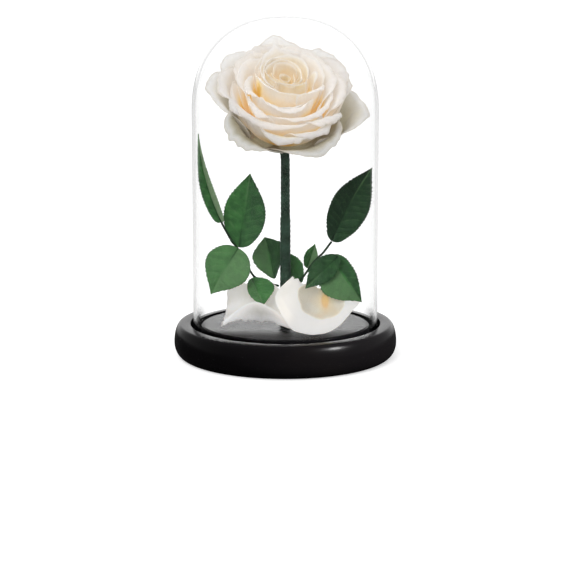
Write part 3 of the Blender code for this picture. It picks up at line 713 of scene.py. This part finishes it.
def petal_points(shape, u, v, seed):
    """Place the points of a petal in the flower's own frame, and give how far along it they are."""
    openness = shape["openness"]
    side = np.abs(u)
    draw = np.random.default_rng(SEED + seed)
    lip_length = ramp(openness, LIP_LENGTH) * shape["lip"]
    across = (u + 1) / 2
    ragged = sum(size * wander(across, count, draw) for count, size in RAGGEDNESS)
    outline = 1 - shape["cut"] * ramp(openness, CORNER_CUT) * side ** CORNER_POWER
    outline += ragged * smooth(0.1, 0.6, openness)
    outline += shape["tip"] / lip_length * (1 - LIP_START) * np.exp(-(side / shape["tip_width"]) ** 1.3)
    along = v * outline
    on_curve = np.minimum(along, LIP_START)
    local = openness + (shape["swing"] * u - shape["hug"] * u * u) * smooth(0.15, 0.8, along)
    spread = CLAW_WIDTH + (1 - CLAW_WIDTH) * np.sin(np.pi / 2 * np.minimum(along / FULL_WIDTH, 1)) ** 1.15
    spread *= 1 - LIP_NARROWING * (np.maximum(along - FULL_WIDTH, 0) / (1 - FULL_WIDTH)) ** 2
    lip_radius, _, _ = bezier(family_curve(openness, shape["azimuth"]), LIP_START)
    half_width = shape["wrap"] * max(lip_radius, LEAST_RADIUS)
    middle, _, _ = bezier(family_curve(local, shape["azimuth"], shape["sag"], shape["arch"]), on_curve)
    azimuth = shape["azimuth"] + u * half_width * spread / np.maximum(middle, LEAST_RADIUS)
    radius, height, angle = bezier(family_curve(local, azimuth, shape["sag"], shape["arch"]), on_curve)
    front = (1 + np.cos(azimuth)) / 2
    roll = front * ramp(openness, FRONT_ROLL) + (1 - front) * ramp(openness, REAR_ROLL)
    roll = roll * shape["roll"] + SIDE_ROLL * openness * side ** 1.6
    past = np.maximum(along - LIP_START, 0) / (1 - LIP_START)
    turn = roll * past ** ROLL_GAIN
    heading = angle - turn
    step = np.diff(past, axis=0)
    reach = [(f(heading[1:]) + f(heading[:-1])) / 2 * step * lip_length for f in (np.cos, np.sin)]
    radius[1:] += np.cumsum(reach[0], axis=0)
    height[1:] += np.cumsum(reach[1], axis=0)
    off = ramp(openness, SIDE_FLARE) * side ** 3 * smooth(0.25, 0.9, along)
    off += shape["keel"] * np.exp(-(u / 0.3) ** 2) * smooth(0.5, 1, along)
    for count, length, height_of in WAVES:
        size = height_of * (0.15 + openness) * draw.uniform(0.5, 1)
        phase = draw.uniform(0, 2 * np.pi)
        slant = draw.choice((-1, 1))
        wave = np.sin(count * u + slant * length * along + phase)
        off += size * wave * smooth(0.4, 1, along) * (0.3 + 0.7 * side)
    for count, height_of in RUFFLES:
        size = height_of * smooth(0.1, 0.6, openness) * draw.uniform(0.4, 1)
        off += size * wander(across, count, draw) * past
    stray = sum(size * np.sin(count * azimuth + draw.uniform(0, 6)) for count, size in HEART_STRAY)
    radius *= (1 + stray * (1 - smooth(0.1, 0.4, openness)) * smooth(0.3, 0.8, along))
    radius += off * np.sin(heading)
    height -= off * np.cos(heading)
    return np.stack([radius * np.sin(azimuth), -radius * np.cos(azimuth), height], -1), along


def to_world(points):
    """Carry points of the flower's own frame to the object's frame."""
    matrix = np.array(FLOWER)
    return points @ matrix[:3, :3].T + matrix[:3, 3]


def build_petal(name, shape, seed, finishes, *nodes):
    """Grow one petal as a thin sheet with its colour masks."""
    u, v = grid(*PETAL_GRID)
    points, along = petal_points(shape, u, v, seed)
    openness = shape["openness"]
    edge = np.maximum(smooth(0.9, 1, v), smooth(0.88, 1, np.abs(u)) * smooth(0.3, 0.6, v))
    outer = smooth(0.78, 0.9, openness)
    depth = (1 - smooth(0.42, 0.78, along)) * ramp(openness, DEPTH_WARMTH)
    depth *= np.clip(0.85 + 0.7 * math.cos(shape["azimuth"]), 0.2, 1)
    strength, centre, width, high, low = shape["blush"]
    depth += strength * np.exp(-((u - centre) / width) ** 2) * smooth(high, low, along)
    warmth = np.clip(ramp(openness, WARMTH) + depth, 0, 1)
    # Share of the painted glow: full deep in the petal, less towards the lip
    through = 1 - 0.35 * smooth(0.45, 0.9, along)
    # The lips are painted a little whiter: partly their paler margin, partly a painted highlight where they catch the
    # light
    lip = edge * ramp(openness, ((0, 0.5), (0.3, 0.85), (0.6, 1), (1, 0.8)))
    # Olive on the outer petals: partly their own tint, partly painted shade, strongest near the bloom's body where
    # the petals above overhang them; each petal's extra share of painted shade darkens it further
    olive_and_shade = np.clip(outer * (0.8 - 0.55 * smooth(0.6, 1, along)) + shape["dull"], 0, 1)
    brown = smooth(0.5, 0.8, openness) * np.maximum(smooth(0.965, 1, v), smooth(0.97, 1, np.abs(u)))
    masks = {"warmth": warmth, "lip": lip, "olive_and_shade": olive_and_shade, "brown": brown, "through": through}
    build_sheet(name, "cream_petal", to_world(points), masks, edge, PETAL_SHEET, finishes, *nodes)


def build_petals(*finishes):
    """Grow the whole bloom."""
    for number, shape in enumerate(PETALS, 1):
        name = f"petal_{number:02d}"
        build_petal(name, shape, number, finishes, name)
    for number, shape in enumerate(INNER_PETALS, len(PETALS) + 1):
        build_petal(f"inner_petal_{number:02d}", shape, number, finishes)


# Leaves
def leaf_points(leaflet, u, v):
    """Place the points of a leaflet, and give its masks: veins, midrib (dark to light), margin and tone,
    which is partly painted shade and light.
    """
    _, start, end, face, widths, widest, tones_and_shade, fold, bend, sway = leaflet
    start, end, face = [np.array(value) for value in (start, end, face)]
    axis = end - start
    length = np.linalg.norm(axis)
    side = np.cross(axis, face)
    side /= np.linalg.norm(side)
    up = np.cross(side, axis)
    up /= np.linalg.norm(up)
    right, off = u >= 0, np.abs(u)
    half = np.where(right, widths[1], widths[0])
    share = v ** (math.log(0.5) / np.log(np.where(right, widest[1], widest[0])))
    width = half * np.maximum(np.sin(np.pi * share), 0) ** (0.55 + 0.5 * v)
    draw = np.random.default_rng(SEED + int(length * 100))
    uneven = [wander(v, 9, draw) for _ in range(3)]
    tooth = (v * length / TOOTH_SPACING + 0.5 * np.where(right, uneven[0], uneven[1])) % 1
    inside = smooth(0.02, 0.12, v) * smooth(1, 0.9, v)
    bite = TOOTH_DEPTH * (1 + 0.5 * uneven[2]) * (1 - tooth)
    width -= bite * smooth(0.84, 1, off) * inside
    width = np.maximum(width, LEAF_END_WIDTH * (1 - 0.6 * v))
    across = off * width
    phase = (v * length - 0.75 * across + 0.02 * across ** 2) / VEIN_SPACING + 0.35 * np.where(right, *uneven[:2])
    near = np.abs(phase % 1 - 0.5) * 2
    rib = smooth(0.8, 1, near) * smooth(0, 0.12, off) * (1 - smooth(0.8, 1, off))
    spine = 1 - smooth(0, 0.9, across)
    pillow = (1 - near ** 2) * VEIN_DEPTH * smooth(0.05, 0.25, off) * (1 - smooth(0.75, 1, off))
    wave = LEAF_WAVE * np.sin(2.5 * np.pi * v + np.where(right, 0.4, 2.2) + length) * u * u
    rise = bend * 4 * v * (1 - v) + fold * across + pillow + wave - 0.35 * spine
    aside = u * width + sway * 4 * v * (1 - v)
    points = start + axis * v[..., None] + side * aside[..., None] + up * rise[..., None]
    margin = smooth(0.93, 1, off)
    share = smooth(-0.08, 0.08, u)
    return points, rib, spine * np.clip(1 - 2.2 * v, -1, 1), margin, tones_and_shade[0] * (1 - share) + tones_and_shade[1] * share


def build_leaves(*finishes):
    """Grow the leaflets."""
    u, v = grid(*LEAF_GRID)
    for leaflet in LEAFLETS:
        name = leaflet[0]
        points, vein, midrib, margin, tone = leaf_points(leaflet, u, v)
        masks = {"vein": vein, "midrib": midrib, "margin": margin, "tone": tone}
        build_sheet(name, "green_leaf", points, masks, smooth(0.9, 1, np.abs(u)), LEAF_SHEET, finishes, name)


# Loose petals
def sheet_through(table, across, along):
    """Follow a smooth sheet through a table of points; both shares run from 0 to 1."""
    def weights(share, steps):
        index = np.clip((share * steps).astype(int), 0, steps - 1)
        t = (share * steps - index)[..., None]
        cubic = (-t + 2 * t * t - t ** 3, 2 - 5 * t * t + 3 * t ** 3, t + 4 * t * t - 3 * t ** 3, t ** 3 - t * t)
        return index, [part / 2 for part in cubic]

    padded = table
    for axis in (0, 1):
        ends = [2 * padded.take(a, axis) - padded.take(b, axis) for a, b in ((0, 1), (-1, -2))]
        padded = np.concatenate([np.expand_dims(ends[0], axis), padded, np.expand_dims(ends[1], axis)], axis)
    row, down = weights(along, table.shape[0] - 1)
    column, over = weights(across, table.shape[1] - 1)
    return sum(down[i] * over[j] * padded[row + i, column + j] for i in range(4) for j in range(4))


def build_fallen_petals(*finishes):
    """Lay the two loose petals on the disc."""
    columns, rows = FALLEN_GRID
    for number, (name, control) in enumerate(FALLEN_PETALS):
        u, v = grid(columns, rows)
        draw = np.random.default_rng(SEED * 3 + number)
        side, half = np.abs(u), (u + 1) / 2
        bites = [sum(size * (1 + wander(share, count, draw)) for count, size in FALLEN_BITES)
                 for share in (v, v, half, half)]
        across = 0.5 + 0.5 * u * (1 - side ** 4 * np.where(u < 0, bites[0], bites[1]))
        along = v + smooth(0.3, 0, v) * bites[2] - smooth(0.7, 1, v) * bites[3]
        points = sheet_through(np.array(control, float), across, along)
        normal = np.cross(np.gradient(points, axis=1), np.gradient(points, axis=0))
        normal /= np.linalg.norm(normal, axis=-1, keepdims=True)
        wave = sum(size * wander((half + v * 0.7) / 1.7, count, draw) * wander((v + half * 0.4) / 1.4, rise, draw)
                   for count, rise, size in FALLEN_WAVES)
        points = points + normal * (wave * (0.4 + 0.6 * np.maximum(side, v)))[..., None]
        edge = np.maximum(smooth(0.9, 1, v), smooth(0.9, 1, side))
        warmth = 0.1 * (1 - smooth(0.2, 0.7, v))
        # Painted shade, in olive: in the valley behind the crest and on the lower middle of the flap
        olive_and_shade = 0.4 * np.exp(-((v - 0.5) / 0.13) ** 2) + 0.8 * smooth(0.7, 0.92, v) * np.exp(-((u - 0.2) / 0.6) ** 2)
        if number:
            x, z, wide, tall = FLECK
            spread = ((points[..., 0] - x) / wide) ** 2 + ((points[..., 2] - z) / tall) ** 2
            x, height, wide = INSIDE
            rise = points[..., 2] + 0.21 * points[..., 1]
            reach = ((points[..., 0] - x) / wide) ** 2 + ((rise - height) / wide) ** 2 + 0.2 * wander(half, 11, draw)
            inner = smooth(1.15, 0.85, reach)
            warmth = 0.42 * inner + 0.9 * np.exp(-spread) + 0.2 * np.exp(-spread / 5)
            # Painted shade, in olive, over the inside of the cup, more to its left and less around the fleck
            olive_and_shade = inner * (0.35 + 0.3 * smooth(0.2, -0.5, u)) * (1 - np.exp(-spread / 2))
        # Rim colour: a paler margin with a painted highlight, and a little of it over the whole sheet
        masks = {"warmth": warmth, "lip": 0.6 * edge + 0.2, "olive_and_shade": olive_and_shade, "brown": 0.4 * smooth(0.9, 1, edge),
                 "through": 1}
        build_sheet(name, "cream_petal", points, masks, edge, PETAL_SHEET, finishes, name)


# Geometry Nodes: turned pieces and wound stems
def finish_tree(tree, source, sink, geometry):
    """End a geometry tree with plain geometry in its material."""
    real = tree.node("GeometryNodeRealizeInstances", {"Geometry": geometry}).outputs[0]
    painted = tree.node("GeometryNodeSetMaterial", {"Geometry": real, "Material": source["Finish"]}).outputs[0]
    tree.feed(painted, sink["Geometry"])


def make_turning():
    """Turn a profile about Z: the profile is drawn flat, X out from the core and Y downwards."""
    tree, source, sink, names = new_group(
        "GeometryNodeTree", "turned piece", {"Geometry": "Geometry", "Steps": "Int", "Finish": "Material"},
        {"Geometry": "Geometry"})
    ring = tree.node("GeometryNodeCurvePrimitiveCircle", {"Resolution": source["Steps"], "Radius": TURN_CORE * MM})
    swept = tree.node("GeometryNodeCurveToMesh", {"Curve": ring.outputs["Curve"],
                                                  "Profile Curve": source["Geometry"]})
    closed = tree.node("GeometryNodeMergeByDistance", {"Geometry": swept.outputs[0], "Distance": 0.004 * MM})
    finish_tree(tree, source, sink, closed.outputs[0])
    return tree.tree, names


def make_winding():
    """Sweep a round stem along a path and lap its skin like wound tape."""
    tree, source, sink, names = new_group(
        "GeometryNodeTree", "wound stem", {"Geometry": "Geometry", "Steps": "Int", "Sides": "Int", "Pitch": "Float",
                                           "Lap": "Float", "Finish": "Material"}, {"Geometry": "Geometry"})

    def store(geometry, name, value):
        return tree.node("GeometryNodeStoreNamedAttribute", {"Geometry": geometry, "Name": name, "Value": value},
                         data_type="FLOAT", domain="POINT").outputs[0]

    path = tree.node("GeometryNodeResampleCurve", {"Curve": source["Geometry"], "Count": source["Steps"]})
    path = store(path.outputs[0], "run", tree.node("GeometryNodeSplineParameter").outputs["Length"])
    ring = tree.node("GeometryNodeCurvePrimitiveCircle", {"Resolution": source["Sides"], "Radius": 1})
    turn = tree.math("DIVIDE", tree.node("GeometryNodeInputIndex").outputs[0], source["Sides"])
    ring = store(ring.outputs[0], "turn", turn)
    swept = tree.node("GeometryNodeCurveToMesh", {"Curve": path, "Profile Curve": ring, "Fill Caps": True,
                                                  "Scale": tree.node("GeometryNodeInputRadius").outputs[0]})
    run, turn = [tree.node("GeometryNodeInputNamedAttribute", {"Name": name}, data_type="FLOAT").outputs["Attribute"]
                 for name in ("run", "turn")]
    phase = tree.math("SUBTRACT", tree.math("DIVIDE", run, source["Pitch"]), turn)
    height = tree.times(tree.math("SUBTRACT", tree.math("FRACT", phase), 0.5), source["Lap"])
    normal = tree.node("GeometryNodeInputNormal").outputs[0]
    shift = tree.node("ShaderNodeVectorMath", {0: normal, "Scale": height}, operation="SCALE").outputs[0]
    lapped = tree.node("GeometryNodeSetPosition", {"Geometry": swept.outputs[0], "Offset": shift})
    finish_tree(tree, source, sink, lapped.outputs[0])
    return tree.tree, names


def grow(name, points, radii, tree, names, values):
    """Run a geometry tree on a path and keep its result as a plain smooth mesh."""
    curve = bpy.data.curves.new(name, "CURVE")
    curve.dimensions = "3D"
    spline = curve.splines.new("POLY")
    spline.points.add(len(points) - 1)
    for place, point, radius in zip(spline.points, points, radii):
        place.co = (*(Vector(point) * MM), 1)
        place.radius = radius * MM
    maker = add_object(name, curve)
    modifier = maker.modifiers.new("grow", "NODES")
    modifier.node_group = tree
    for label, value in values.items():
        modifier[names[label]] = value
    depsgraph = bpy.context.evaluated_depsgraph_get()
    mesh = bpy.data.meshes.new_from_object(maker.evaluated_get(depsgraph), depsgraph=depsgraph)
    bpy.data.objects.remove(maker)
    bpy.data.curves.remove(curve)
    mesh.name = name
    whole = bmesh.new()
    whole.from_mesh(mesh)
    bmesh.ops.recalc_face_normals(whole, faces=whole.faces)
    whole.to_mesh(mesh)
    whole.free()
    mesh.shade_smooth()
    return add_object(name, mesh)


def turned(name, profile, finish):
    """Turn a profile of (radius, height) about Z."""
    drawn = [(radius - TURN_CORE, -height, 0) for radius, height in profile]
    return grow(name, drawn, [1] * len(drawn), *TURNING, {"Steps": ROUND_STEPS, "Finish": finish})


def arc(centre, radii, start, end, steps):
    """Give points of an ellipse quarter about a centre, angles in degrees from the outward direction."""
    angles = np.radians(np.linspace(start, end, steps + 1))
    return [(centre[0] + radii[0] * math.cos(a), centre[1] + radii[1] * math.sin(a)) for a in angles]


def build_base(finish, lining):
    """Turn the base: disc, lined groove, rim and the bellied side."""
    soft = EDGE_SOFTNESS
    floor = RIM_HEIGHT - GROOVE_DEPTH
    profile = [(0, DISC_HEIGHT), (DISC_RADIUS / 2, DISC_HEIGHT), (DISC_RADIUS - DISC_CHAMFER, DISC_HEIGHT),
               (DISC_RADIUS, DISC_HEIGHT - DISC_CHAMFER), (DISC_RADIUS, floor + soft), (DISC_RADIUS + soft, floor),
               (GROOVE_RADIUS - soft, floor), (GROOVE_RADIUS, floor + soft)]
    profile += arc((GROOVE_RADIUS + soft, RIM_HEIGHT - soft), (soft, soft), 180, 90, 4)
    profile += arc((RIM_RADIUS, BELLY_HEIGHT),
                   (BELLY_RADIUS - RIM_RADIUS, RIM_HEIGHT - BELLY_HEIGHT), 90, 0, ARC_STEPS)
    profile += arc((FOOT_RADIUS, BELLY_HEIGHT),
                   (BELLY_RADIUS - FOOT_RADIUS, BELLY_HEIGHT), 0, -90, ARC_STEPS)[1:]
    profile.append((0, 0))
    piece = turned("base", profile, finish)
    piece.data.set_sharp_from_angle(angle=math.radians(SHARP_ANGLE))
    piece.data.materials.append(lining)
    for face in piece.data.polygons:
        radius, height = face.center.to_2d().length / MM, face.center.z / MM
        if DISC_RADIUS - 0.1 < radius < GROOVE_RADIUS + 0.1 and height < RIM_HEIGHT - soft:
            face.material_index = 1
    return finish_piece(piece, "black_base", "base")


def dome_half(radius, cap_height):
    """Give the outline of a dome from its top down to where its wall starts."""
    wall_top = DOME_TOP - DOME_CAP_HEIGHT
    angles = [math.pi / 2 * step / DOME_CAP_STEPS for step in range(DOME_CAP_STEPS + 1)]
    power = 2 / DOME_CAP_POWER
    return [(radius * math.sin(a) ** power, wall_top + cap_height * max(math.cos(a), 0) ** power) for a in angles]


def build_dome(finish):
    """Turn the dome with an even wall and a fire-polished foot."""
    half = GLASS / 2
    outer = dome_half(DOME_RADIUS, DOME_CAP_HEIGHT)
    inner = dome_half(DOME_RADIUS - GLASS, DOME_CAP_HEIGHT - GLASS)
    foot = arc((DOME_RADIUS - half, GLASS_FOOT + half), (half, half), 0, -180, 12)
    piece = turned("glass_dome", outer + foot + inner[::-1], finish)
    finish_piece(piece, "clear_glass", "glass_dome")


def build_wound(name, slot, path, radii, winding, finish):
    """Sweep a stem along a path and put it on the body."""
    steps, sides, pitch, lap = winding
    values = {"Steps": steps, "Sides": sides, "Pitch": pitch * MM, "Lap": lap * MM, "Finish": finish}
    finish_piece(grow(name, path, radii, *WINDING, values), slot, name)


def build_stem(tape, stalk):
    """Run the taped stem and the two leaf stalks."""
    foot, neck = STEM_PATH[0][2], STEM_PATH[-1][2]
    taper = (STEM_RADIUS_LOW - STEM_RADIUS_HIGH) / (neck - foot)
    low, high = [Vector((0, STEM_Y, TAPE_STEP_HEIGHT + shift)) for shift in (-0.4, 0.4)]
    path = sorted([Vector(point) for point in STEM_PATH] + [low, high], key=lambda point: point.z)
    radii = [STEM_RADIUS_HIGH + taper * (neck - point.z) - TAPE_LAP / 2 - (TAPE_STEP if point.z > low.z else 0)
             for point in path]
    build_wound("stem", "stem_tape", path, radii, TAPE_WINDING, tape)
    for name, points in STALKS:
        build_wound(name, "leaf_stalk", points, [STALK_RADIUS] * len(points), STALK_WINDING, stalk)


def build_receptacle(finish):
    """Turn the cup that the petals grow from and lean it with the flower."""
    piece = turned("receptacle", RECEPTACLE, finish)
    for vertex in piece.data.vertices:
        vertex.co = (FLOWER @ (vertex.co / MM)) * MM
    finish_piece(piece, "calyx", "receptacle")


# Stage
def aim(thing, target):
    """Turn a light or camera towards a point."""
    thing.rotation_euler = (Vector(target) - thing.location).to_track_quat("-Z", "Y").to_euler()


def softbox(name, place, target, size, power, *pieces):
    """Hang a square soft light; where pieces are given, it lights only those."""
    data = bpy.data.lights.new(name, "AREA")
    data.size = size
    data.energy = power
    lamp = add_object(name, data)
    lamp.location = place
    aim(lamp, target)
    if pieces:
        chosen = lamp.light_linking.receiver_collection = bpy.data.collections.new(name + " pieces")
        for piece in pieces:
            chosen.objects.link(piece)
    return lamp


def light_room():
    """Surround the object with even light, and let gloss and glass see a bright sweep behind it."""
    world = bpy.data.worlds.new("white room")
    bpy.context.scene.world = world
    world.use_nodes = True
    sky = Shading(world.node_tree)
    way = sky.parts(sky.place("Generated"))
    behind = sky.times(sky.span(way["Y"], 0.75, 0.95, 0, ROOM_BEHIND - ROOM_ABOVE), sky.span(way["Z"], 0.5, 0.35))
    before = sky.span(way["Y"], -0.9, 0, ROOM_BEFORE - ROOM_ABOVE, 0)
    sweep = sky.plus(sky.plus(behind, before), ROOM_ABOVE)
    inside = sky.times(sky.in_wall(), sky.span(sky.math("ABSOLUTE", way["Y"]), 0.2, 0.6))
    wall = sky.span(way["X"], -0.4, 0.4, GLASS_EDGE * MIRRORED_LEFT, GLASS_EDGE)
    level = sky.span(inside, 0, 1, sweep, wall)
    level = sky.span(sky.rays()["Is Diffuse Ray"], 0, 1, level, ROOM_EVEN)
    sky.fill(world.node_tree.nodes["Background"], {"Color": (1, 1, 1, 1), "Strength": level})


def build_stage():
    """Lay the floor, light it softly and set the camera at the photograph's angle."""
    mesh = bpy.data.meshes.new("floor")
    half = FLOOR_HALF
    mesh.from_pydata([(-half, -half, 0), (half, -half, 0), (half, half, 0), (-half, half, 0)], [], [(0, 1, 2, 3)])
    floor = add_mesh("floor", mesh, floor_material())
    light_room()
    softbox("key", *KEY_LIGHT).visible_glossy = False
    camera = bpy.data.cameras.new("camera")
    camera.lens = LENS
    viewer = bpy.context.scene.camera = add_object("camera", camera)
    elevation = math.radians(ELEVATION)
    target = Vector(TARGET) * MM
    viewer.location = target + Vector((0, -math.cos(elevation), math.sin(elevation))) * DISTANCE
    aim(viewer, target)
    bpy.context.scene.view_settings.view_transform = "Standard"


TURNING = make_turning()
WINDING = make_winding()


def main():
    build_stage()
    back = petal_material("petal back", PETAL_GLOW_STRENGTH, *PETAL_BACK)
    face = petal_material("petal face", PETAL_GLOW_STRENGTH, *PETAL_FACE)
    base = build_base(black_material(), groove_material())
    build_dome(glass_material())
    build_stem(plant_material("dark green tape", *TAPE_TONES, 9, 0.1, 0.6),
               plant_material("leaf stalk", *STALK_TONES, 4, 0.08, 0.55))
    build_receptacle(plant_material("calyx", *CALYX_TONES, 3, 0.15, 0.7))
    build_petals(back, face)
    build_leaves(leaf_material("leaf upper side", *LEAF_UPPER, 0.5),
                 leaf_material("leaf underside", *LEAF_UNDER, 0.65))
    build_fallen_petals(petal_material("loose petal back", LOOSE_GLOW_STRENGTH, *LOOSE_BACK),
                        petal_material("loose petal face", LOOSE_GLOW_STRENGTH, *LOOSE_FACE))
    softbox("edge light", *EDGE_LIGHT, base)


main()
